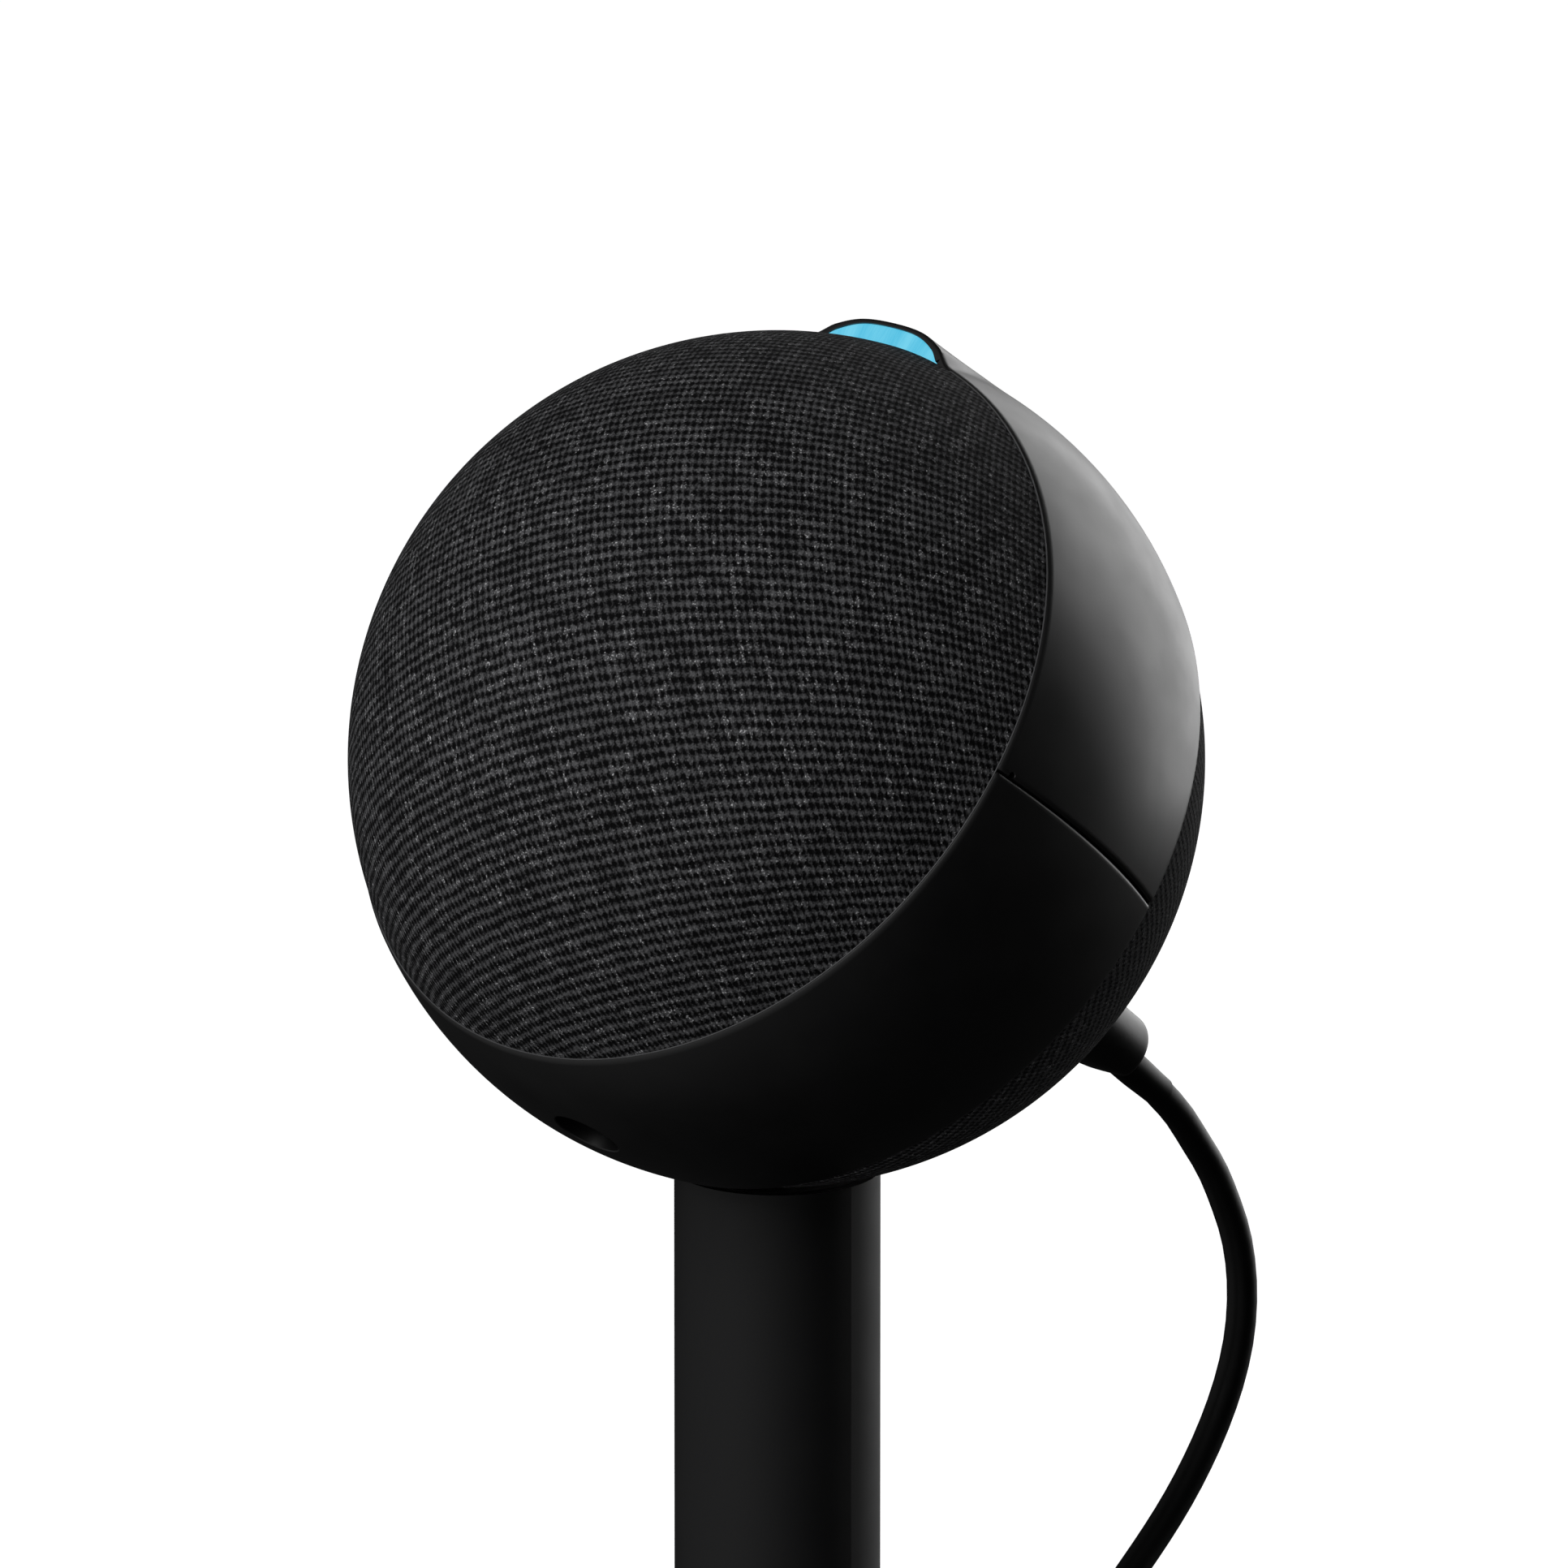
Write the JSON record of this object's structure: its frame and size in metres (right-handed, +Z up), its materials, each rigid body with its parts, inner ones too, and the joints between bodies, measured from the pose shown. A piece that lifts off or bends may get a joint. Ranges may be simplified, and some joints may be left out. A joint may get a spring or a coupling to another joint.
{
  "type": "smart speaker",
  "caption": "Ball-shaped voice speaker with cloth faces, light bar and buttons, tilting on a swivelling pole with a weighted round base and power lead",
  "frame": {"origin": "middle of the base's underside, on the surface it stands on", "axes": "+Z up along the pole, -Y the way the ball's front cloth faces, +X to the viewer's right when facing that cloth from the front"},
  "size_m": [0.174, 0.2204, 0.3417],
  "materials": {
    "satin_black_shell": "satin moulded plastic, very fine texture",
    "woven_speaker_cloth": "coarse plain weave of charcoal yarn",
    "grille_plastic": "moulded",
    "cyan_light_lens": "frosted diffuser, lit cyan",
    "clear_light_guide": "polished clear plastic",
    "green_circuit_board": "solder mask",
    "black_button_plastic": "satin",
    "steel_sheet": "pressed steel",
    "ferrite": "sintered ferrite",
    "spider_cloth": "resin-dipped cloth",
    "surround_rubber": "matt",
    "paper_cone": "pressed paper pulp",
    "copper_coil": "enamelled copper wire",
    "screw_steel": "zinc plated",
    "wire_insulation": "extruded insulation",
    "tinned_shield": "tinned",
    "spreader_aluminium": "rolled sheet",
    "switch_plastic": "moulded",
    "socket_plastic": "moulded",
    "plug_plastic": "satin moulded plastic",
    "plated_contact": "nickel-plated brass",
    "cord_jacket": "smooth extruded jacket",
    "black_pole": "satin black powder coat",
    "collar_steel": "turned",
    "soft_rubber": "matt",
    "weight_steel": "oiled steel plate",
    "base_cover_plastic": "satin black powder coat",
    "bearing_plastic": "natural acetal",
    "tie_strap": "hook-and-loop strap"
  },
  "bodies": {
    "base": {"base_plate": "weight_steel", "base_cover": "base_cover_plastic", "base_pad": "soft_rubber", "bearing_bush": "bearing_plastic", "thrust_washer": "bearing_plastic", "base_screws": "screw_steel", "outlet_grommet": "soft_rubber", "base_cable": "cord_jacket", "cord_tail": "cord_jacket", "cord_coil": "cord_jacket", "cord_tie": "tie_strap", "cord_lead": "cord_jacket", "adapter_body": "plug_plastic", "adapter_prongs": "plated_contact"},
    "pole": {"pole_tube": "black_pole", "pole_collar": "collar_steel", "cradle_cup": "socket_plastic", "cradle_magnet": "collar_steel", "cradle_pad": "soft_rubber", "cord_gland": "soft_rubber", "pole_cable": "cord_jacket"},
    "head": {"upper_shell": "satin_black_shell", "lower_shell": "satin_black_shell", "front_grille": "grille_plastic", "front_fabric": "woven_speaker_cloth", "rear_housing": "grille_plastic", "rear_fabric": "woven_speaker_cloth", "light_lens": "cyan_light_lens", "light_guide": "clear_light_guide", "led_board": "green_circuit_board", "front_baffle": "grille_plastic", "sound_chamber": "grille_plastic", "driver_frame": "steel_sheet", "driver_magnet": "ferrite", "driver_yoke": "steel_sheet", "driver_spider": "spider_cloth", "driver_surround": "surround_rubber", "driver_screws": "screw_steel", "speaker_leads": "wire_insulation", "main_board": "green_circuit_board", "board_shield": "tinned_shield", "heat_spreader": "spreader_aluminium", "board_screws": "screw_steel", "mic_boards": "green_circuit_board", "button_board": "green_circuit_board", "button_switches": "switch_plastic", "power_jack": "socket_plastic", "tripod_insert": "socket_plastic", "keeper_plate": "steel_sheet", "plug_body": "plug_plastic", "plug_barrel": "plated_contact", "plug_relief": "cord_jacket", "cord_loop": "cord_jacket"},
    "speaker_cone": {"driver_cone": "paper_cone", "voice_coil": "copper_coil"},
    "mic_off_button": {"mic_off_button": "black_button_plastic"},
    "volume_down_button": {"volume_down_button": "black_button_plastic"},
    "volume_up_button": {"volume_up_button": "black_button_plastic"},
    "action_button": {"action_button": "black_button_plastic"}
  },
  "joints": [
    {"name": "pole_swivel", "type": "hinge", "parent": "base", "child": "pole", "pos_m": [0, 0, 0.02], "axis": [0, 0, 1], "range_deg": [-90, 90]},
    {"name": "head_tilt", "type": "hinge", "parent": "pole", "child": "head", "pos_m": [0, 0, 0.29], "axis": [1, 0, 0], "range_deg": [-15, 10], "deforming": ["cord_loop"]},
    {"name": "cone_travel", "type": "slide", "parent": "head", "child": "speaker_cone", "axis": [0, -0.7771, 0.6293], "range_m": [-0.0015, 0.0015], "stiffness_N_per_m": 900, "deforming": ["driver_surround", "driver_spider"]},
    {"name": "mic_off_press", "type": "slide", "parent": "head", "child": "mic_off_button", "axis": [0.2563, -0.7101, -0.6558], "range_m": [0, 0.0006], "stiffness_N_per_m": 800},
    {"name": "volume_down_press", "type": "slide", "parent": "head", "child": "volume_down_button", "axis": [0.0863, -0.729, -0.6791], "range_m": [0, 0.0006], "stiffness_N_per_m": 800},
    {"name": "volume_up_press", "type": "slide", "parent": "head", "child": "volume_up_button", "axis": [-0.0863, -0.729, -0.6791], "range_m": [0, 0.0006], "stiffness_N_per_m": 800},
    {"name": "action_press", "type": "slide", "parent": "head", "child": "action_button", "axis": [-0.2563, -0.7101, -0.6558], "range_m": [0, 0.0006], "stiffness_N_per_m": 800}
  ]
}
